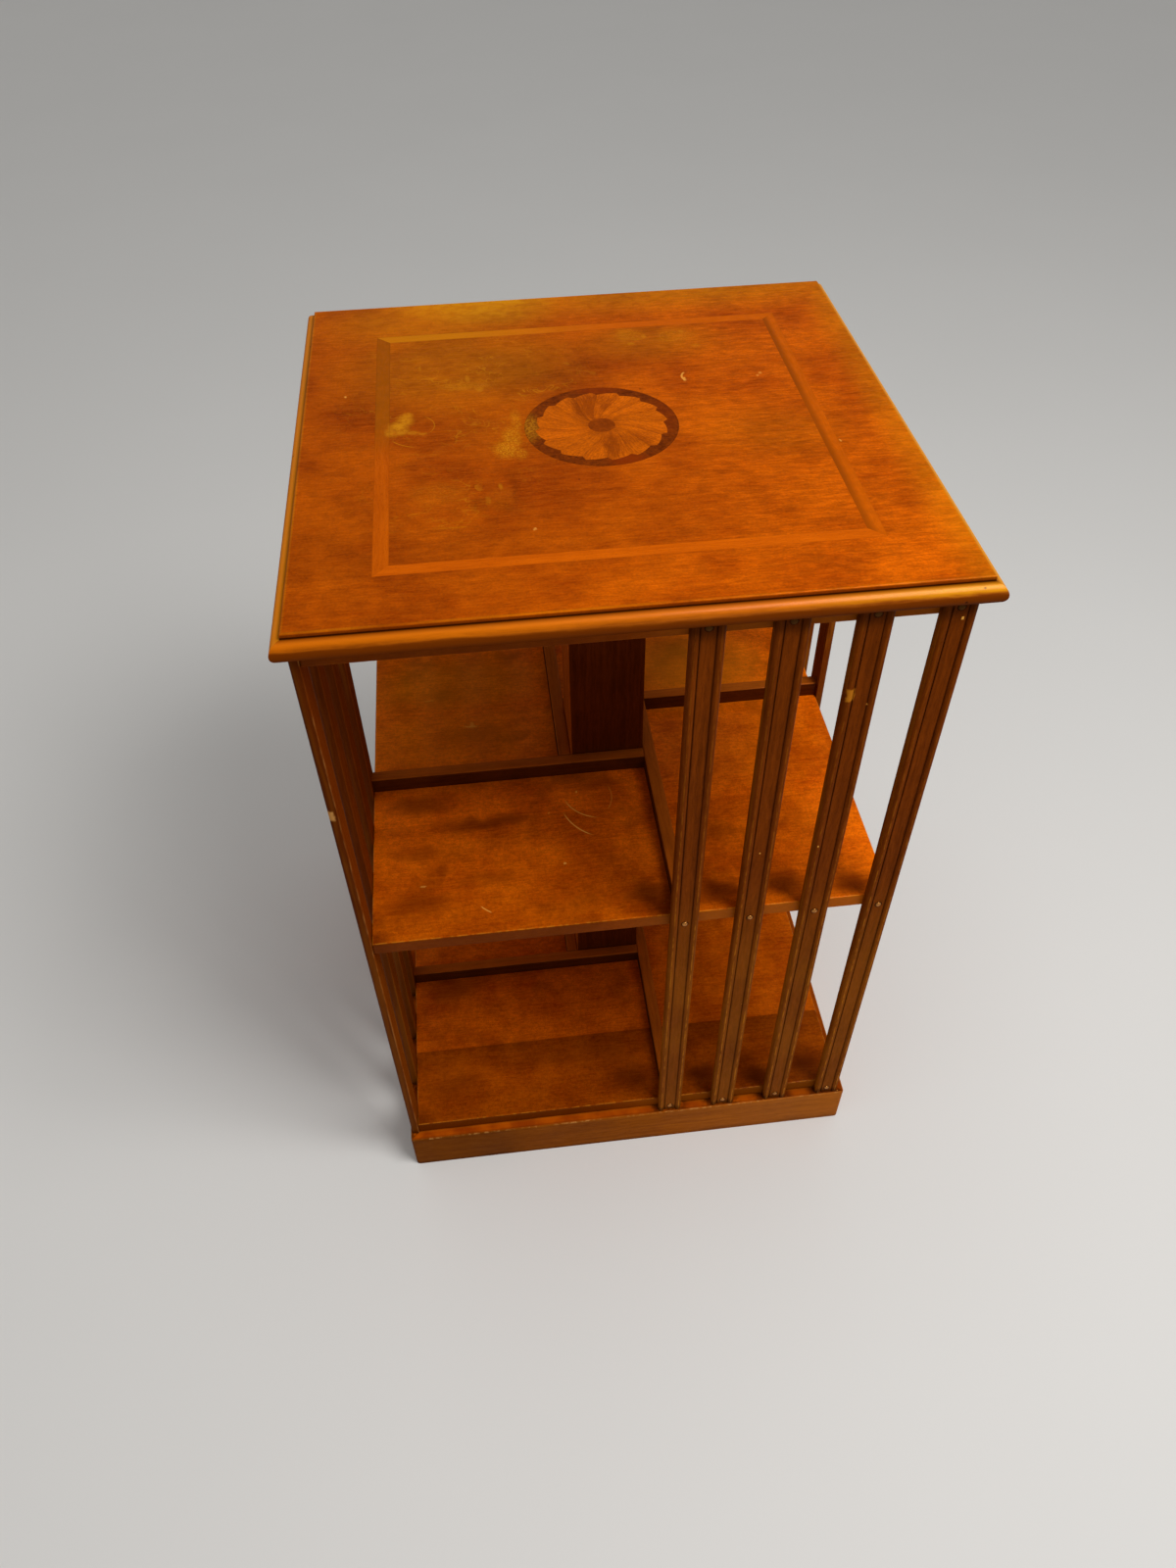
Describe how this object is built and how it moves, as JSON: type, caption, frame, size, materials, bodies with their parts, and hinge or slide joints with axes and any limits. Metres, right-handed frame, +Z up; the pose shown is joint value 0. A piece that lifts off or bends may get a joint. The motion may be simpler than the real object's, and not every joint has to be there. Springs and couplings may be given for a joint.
{
  "type": "revolving bookcase",
  "caption": "Square two-tier bookcase with slatted sides and an inlaid top; the case turns on a plinth.",
  "frame": {"origin": "centre of the plinth's underside, on the floor", "axes": "+Z up along the turning axis; the plinth's front board faces -Y, its right board faces +X"},
  "size_m": [0.484, 0.484, 0.74],
  "materials": {
    "top_veneer": "figured cherry-coloured veneer under worn satin lacquer",
    "moulding_wood": "stained solid wood under gloss lacquer",
    "banding_veneer": "straight-grained veneer banding under satin lacquer",
    "dark_veneer": "dark veneer under satin lacquer",
    "petal_veneer": "sand-shaded veneer under satin lacquer",
    "shelf_veneer": "red-brown stained veneer under satin lacquer",
    "column_wood": "dark stained wood, satin",
    "rail_wood": "stained solid wood, satin",
    "slat_wood": "stained moulded solid wood, satin",
    "plinth_wood": "stained wood under satin lacquer, worn edges",
    "plain_board": "bare board, matt",
    "nail_brass": "darkened brass, satin",
    "zinc_plate": "zinc-plated pressed steel",
    "ball_steel": "polished steel",
    "screw_steel": "zinc-plated steel"
  },
  "bodies": {
    "base": {"plinth_front_board": "plinth_wood", "plinth_right_board": "plinth_wood", "plinth_back_board": "plinth_wood", "plinth_left_board": "plinth_wood", "plinth_top_panel": "plain_board", "plinth_glue_blocks": "plain_board", "swivel_lower_plate": "zinc_plate", "lower_plate_screws": "screw_steel"},
    "ball_set": {"swivel_balls": "ball_steel"},
    "case": {"swivel_upper_plate": "zinc_plate", "upper_plate_screws": "screw_steel", "bottom_shelf": "shelf_veneer", "middle_shelf": "shelf_veneer", "upper_board": "shelf_veneer", "column_front_board": "column_wood", "column_right_board": "column_wood", "column_back_board": "column_wood", "column_left_board": "column_wood", "lower_front_rail": "rail_wood", "lower_right_rail": "rail_wood", "lower_back_rail": "rail_wood", "lower_left_rail": "rail_wood", "upper_front_rail": "rail_wood", "upper_right_rail": "rail_wood", "upper_back_rail": "rail_wood", "upper_left_rail": "rail_wood", "front_slat_1": "slat_wood", "front_slat_2": "slat_wood", "front_slat_3": "slat_wood", "front_slat_4": "slat_wood", "right_slat_1": "slat_wood", "right_slat_2": "slat_wood", "right_slat_3": "slat_wood", "right_slat_4": "slat_wood", "back_slat_1": "slat_wood", "back_slat_2": "slat_wood", "back_slat_3": "slat_wood", "back_slat_4": "slat_wood", "left_slat_1": "slat_wood", "left_slat_2": "slat_wood", "left_slat_3": "slat_wood", "left_slat_4": "slat_wood", "front_slat_nails": "nail_brass", "right_slat_nails": "nail_brass", "back_slat_nails": "nail_brass", "left_slat_nails": "nail_brass", "top_board": "top_veneer", "top_screws": "screw_steel", "top_front_moulding": "moulding_wood", "top_right_moulding": "moulding_wood", "top_back_moulding": "moulding_wood", "top_left_moulding": "moulding_wood", "banding_front": "banding_veneer", "banding_right": "banding_veneer", "banding_back": "banding_veneer", "banding_left": "banding_veneer", "patera_ring": "dark_veneer", "patera_petals": "petal_veneer", "patera_boss": "dark_veneer"}
  },
  "joints": [
    {"name": "case_turn", "type": "hinge", "parent": "base", "child": "case", "pos_m": [0, 0, 0.052], "axis": [0, 0, 1], "continuous": true},
    {"name": "ball_set_turn", "type": "hinge", "parent": "base", "child": "ball_set", "pos_m": [0, 0, 0.052], "axis": [0, 0, 1], "continuous": true}
  ],
  "couplings": [
    {"joint": "ball_set_turn", "follows": "case_turn", "ratio": 0.5}
  ]
}
